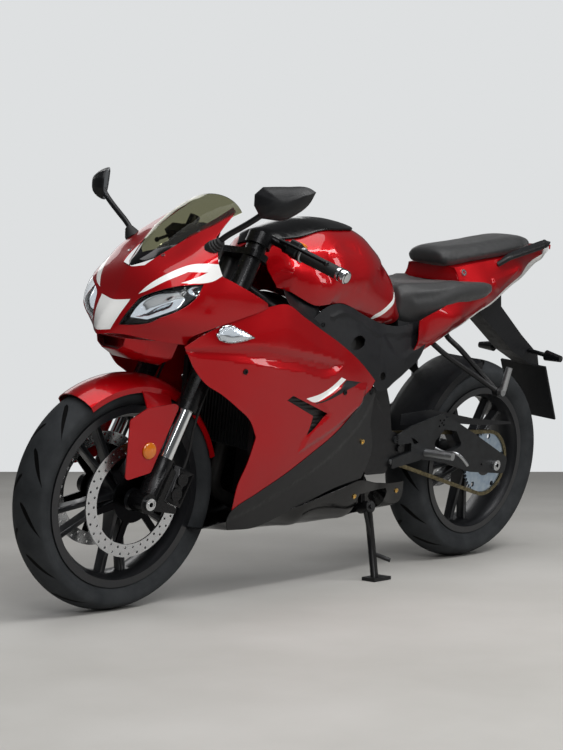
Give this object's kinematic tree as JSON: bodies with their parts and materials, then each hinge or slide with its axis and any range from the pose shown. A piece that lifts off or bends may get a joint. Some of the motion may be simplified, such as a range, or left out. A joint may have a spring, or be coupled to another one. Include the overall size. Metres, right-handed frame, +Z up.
{
  "type": "sport bike",
  "caption": "Small faired sport bike leaning on its side stand, with turning wheels, steering and a folding stand.",
  "frame": {"origin": "on the road, at the bottom centre of the parked machine's bounding box", "axes": "+X forward along the wheelbase, +Y to the rider's left, +Z up from the road; the machine leans to the left, towards +Y, on its side stand"},
  "size_m": [2.0433, 0.7988, 1.1296],
  "materials": {
    "frame_black": "satin",
    "alloy_black": "satin",
    "alloy_grey": "satin",
    "bright_chrome": "polished",
    "disc_steel": "brushed",
    "chain_steel": "satin",
    "zinc_plate": "satin",
    "exhaust_black": "satin",
    "tank_red": "gloss",
    "fairing_red": "gloss",
    "plastic_black": "matte",
    "rubber_black": "matte",
    "tyre_black": "matte",
    "seat_vinyl": "matte",
    "screen_smoke": "gloss",
    "lamp_clear": "gloss",
    "lamp_red": "gloss"
  },
  "bodies": {
    "chassis": {"frame_head": "frame_black", "frame_spars": "frame_black", "frame_ties": "frame_black", "subframe": "frame_black", "swingarm": "alloy_black", "rear_axle": "disc_steel", "rear_caliper": "alloy_black", "engine": "alloy_grey", "radiator": "alloy_black", "exhaust": "exhaust_black", "drive_chain": "chain_steel", "front_sprocket": "zinc_plate", "rear_hugger": "plastic_black", "fuel_tank": "tank_red", "tank_cover": "plastic_black", "rider_seat": "seat_vinyl", "pillion_seat": "seat_vinyl", "grab_rails": "frame_black", "tail_cowl": "fairing_red", "tail_light": "lamp_red", "nose_cowl": "fairing_red", "chin_scoop": "fairing_red", "windscreen": "screen_smoke", "headlights": "lamp_clear", "side_fairing_left": "fairing_red", "side_fairing_right": "fairing_red", "belly_pan": "plastic_black", "frame_covers": "plastic_black", "mirrors": "plastic_black", "rearsets": "alloy_black", "footpegs": "alloy_grey", "plate_holder": "plastic_black", "indicators": "lamp_clear", "instrument_panel": "plastic_black"},
    "steering": {"fork_outer_tubes": "alloy_black", "fork_chrome_tubes": "bright_chrome", "fork_lowers": "alloy_black", "yokes": "alloy_black", "handlebars": "frame_black", "grips": "rubber_black", "front_fender": "fairing_red", "front_axle": "disc_steel", "front_calipers": "alloy_black", "brake_hoses": "rubber_black"},
    "front_wheel": {"front_tyre": "tyre_black", "front_wheel_rim": "alloy_black", "front_brake_discs": "disc_steel"},
    "rear_wheel": {"rear_tyre": "tyre_black", "rear_wheel_rim": "alloy_black", "rear_sprocket": "zinc_plate", "rear_brake_disc": "disc_steel"},
    "stand": {"side_stand": "frame_black"}
  },
  "joints": [
    {"name": "steering_turn", "type": "hinge", "parent": "chassis", "child": "steering", "pos_m": [0.69233, -0.11009, 0.27459], "axis": [-0.4147, 0.1298, 0.9007], "range_deg": [-27, 27]},
    {"name": "front_wheel_spin", "type": "hinge", "parent": "steering", "child": "front_wheel", "pos_m": [0.72873, -0.10772, 0.29101], "axis": [0, 0.9898, -0.1426], "continuous": true},
    {"name": "rear_wheel_spin", "type": "hinge", "parent": "chassis", "child": "rear_wheel", "pos_m": [-0.65627, -0.10515, 0.30882], "axis": [0, 0.9898, -0.1426], "continuous": true},
    {"name": "stand_fold", "type": "hinge", "parent": "chassis", "child": "stand", "pos_m": [-0.09127, 0.0029, 0.20333], "axis": [0.0729, 0.9851, 0.1557], "range_deg": [0, 105]}
  ]
}
